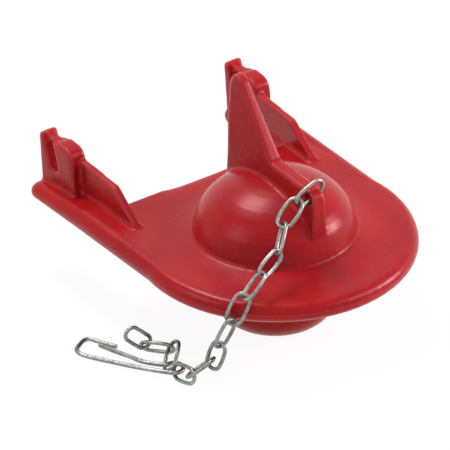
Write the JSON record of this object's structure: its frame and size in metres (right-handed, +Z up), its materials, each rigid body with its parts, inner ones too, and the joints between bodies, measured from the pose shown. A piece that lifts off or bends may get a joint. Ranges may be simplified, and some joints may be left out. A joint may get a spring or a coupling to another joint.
{
  "type": "toilet flapper",
  "caption": "Red rubber toilet flapper: seat disc, dome, lifting fin, slotted hinge ears, hollow float bulb, steel link chain and snap clip.",
  "frame": {"origin": "centre of the flat foot under the float bulb, on the dome's axis", "axes": "+Z up along the dome axis, +X from the hinge ears to the free edge of the disc"},
  "size_m": [0.1075, 0.0996, 0.0716],
  "materials": {
    "rubber": "satin moulded rubber",
    "steel_wire": "bright nickel-plated wire"
  },
  "bodies": {
    "flapper": {"flapper_body": "rubber"},
    "chain_link_01": {"chain_link_01": "steel_wire"},
    "chain_link_02": {"chain_link_02": "steel_wire"},
    "chain_link_03": {"chain_link_03": "steel_wire"},
    "chain_link_04": {"chain_link_04": "steel_wire"},
    "chain_link_05": {"chain_link_05": "steel_wire"},
    "chain_link_06": {"chain_link_06": "steel_wire"},
    "chain_link_07": {"chain_link_07": "steel_wire"},
    "chain_link_08": {"chain_link_08": "steel_wire"},
    "chain_link_09": {"chain_link_09": "steel_wire"},
    "chain_link_10": {"chain_link_10": "steel_wire"},
    "clip": {"clip": "steel_wire"},
    "chain_link_11": {"chain_link_11": "steel_wire"},
    "chain_link_12": {"chain_link_12": "steel_wire"},
    "chain_link_13": {"chain_link_13": "steel_wire"}
  },
  "joints": [
    {"name": "lug_eye_swing", "type": "hinge", "parent": "flapper", "child": "chain_link_01", "pos_m": [0.0185, 0, 0.0483], "axis": [0, 1, 0], "range_deg": [-30, 0]},
    {"name": "link_02_swing", "type": "hinge", "parent": "chain_link_01", "child": "chain_link_02", "pos_m": [0.0185, -0.00572, 0.04807], "axis": [0, -0.3998, 0.9166], "range_deg": [0, 50]},
    {"name": "link_03_swing", "type": "hinge", "parent": "chain_link_02", "child": "chain_link_03", "pos_m": [0.02, -0.01123, 0.04449], "axis": [-0.7491, 0.1119, -0.6529], "range_deg": [0, 25]},
    {"name": "link_04_swing", "type": "hinge", "parent": "chain_link_03", "child": "chain_link_04", "pos_m": [0.02458, -0.017, 0.03825], "axis": [-0.7491, 0.1119, -0.6529], "range_deg": [-5, 35]},
    {"name": "link_05_swing", "type": "hinge", "parent": "chain_link_04", "child": "chain_link_05", "pos_m": [0.02602, -0.02413, 0.03467], "axis": [0.0613, 0.4119, -0.9092], "range_deg": [-70, 5]},
    {"name": "link_06_swing", "type": "hinge", "parent": "chain_link_05", "child": "chain_link_06", "pos_m": [0.02776, -0.03076, 0.03002], "axis": [-0.9472, -0.061, -0.3147], "range_deg": [-10, 5]},
    {"name": "link_07_swing", "type": "hinge", "parent": "chain_link_06", "child": "chain_link_07", "pos_m": [0.02644, -0.0346, 0.02273], "axis": [0.7638, 0.5437, -0.3479], "range_deg": [-15, 25]},
    {"name": "link_08_swing", "type": "hinge", "parent": "chain_link_07", "child": "chain_link_08", "pos_m": [0.02508, -0.0371, 0.01657], "axis": [-0.9066, -0.2697, 0.3244], "range_deg": [-60, 70]},
    {"name": "link_09_swing", "type": "hinge", "parent": "chain_link_08", "child": "chain_link_09", "pos_m": [0.02238, -0.0377, 0.01015], "axis": [-0.6467, 0.7382, -0.1917], "range_deg": [-60, 30]},
    {"name": "link_10_swing", "type": "hinge", "parent": "chain_link_09", "child": "chain_link_10", "pos_m": [0.01877, -0.04303, 0.00422], "axis": [-0.2291, 0.2363, 0.9443], "range_deg": [-10, 70]},
    {"name": "clip_swing", "type": "hinge", "parent": "chain_link_10", "child": "clip", "pos_m": [0.0105, -0.04303, 0.00226], "axis": [-0.2291, 0.2363, 0.9443], "range_deg": [-70, 70]},
    {"name": "link_11_swing", "type": "hinge", "parent": "clip", "child": "chain_link_11", "pos_m": [0.00706, -0.04199, 0.00238], "axis": [-0.1564, -0.9877, 0], "range_deg": [-10, 20]},
    {"name": "link_12_swing", "type": "hinge", "parent": "chain_link_11", "child": "chain_link_12", "pos_m": [0.00338, -0.03802, 0.00396], "axis": [-0.2422, 0.4133, -0.8778], "range_deg": [-15, 70]},
    {"name": "link_13_swing", "type": "hinge", "parent": "chain_link_12", "child": "chain_link_13", "pos_m": [-0.00348, -0.04311, 0.00366], "axis": [-0.2422, 0.4133, -0.8778], "range_deg": [-70, 5]}
  ]
}
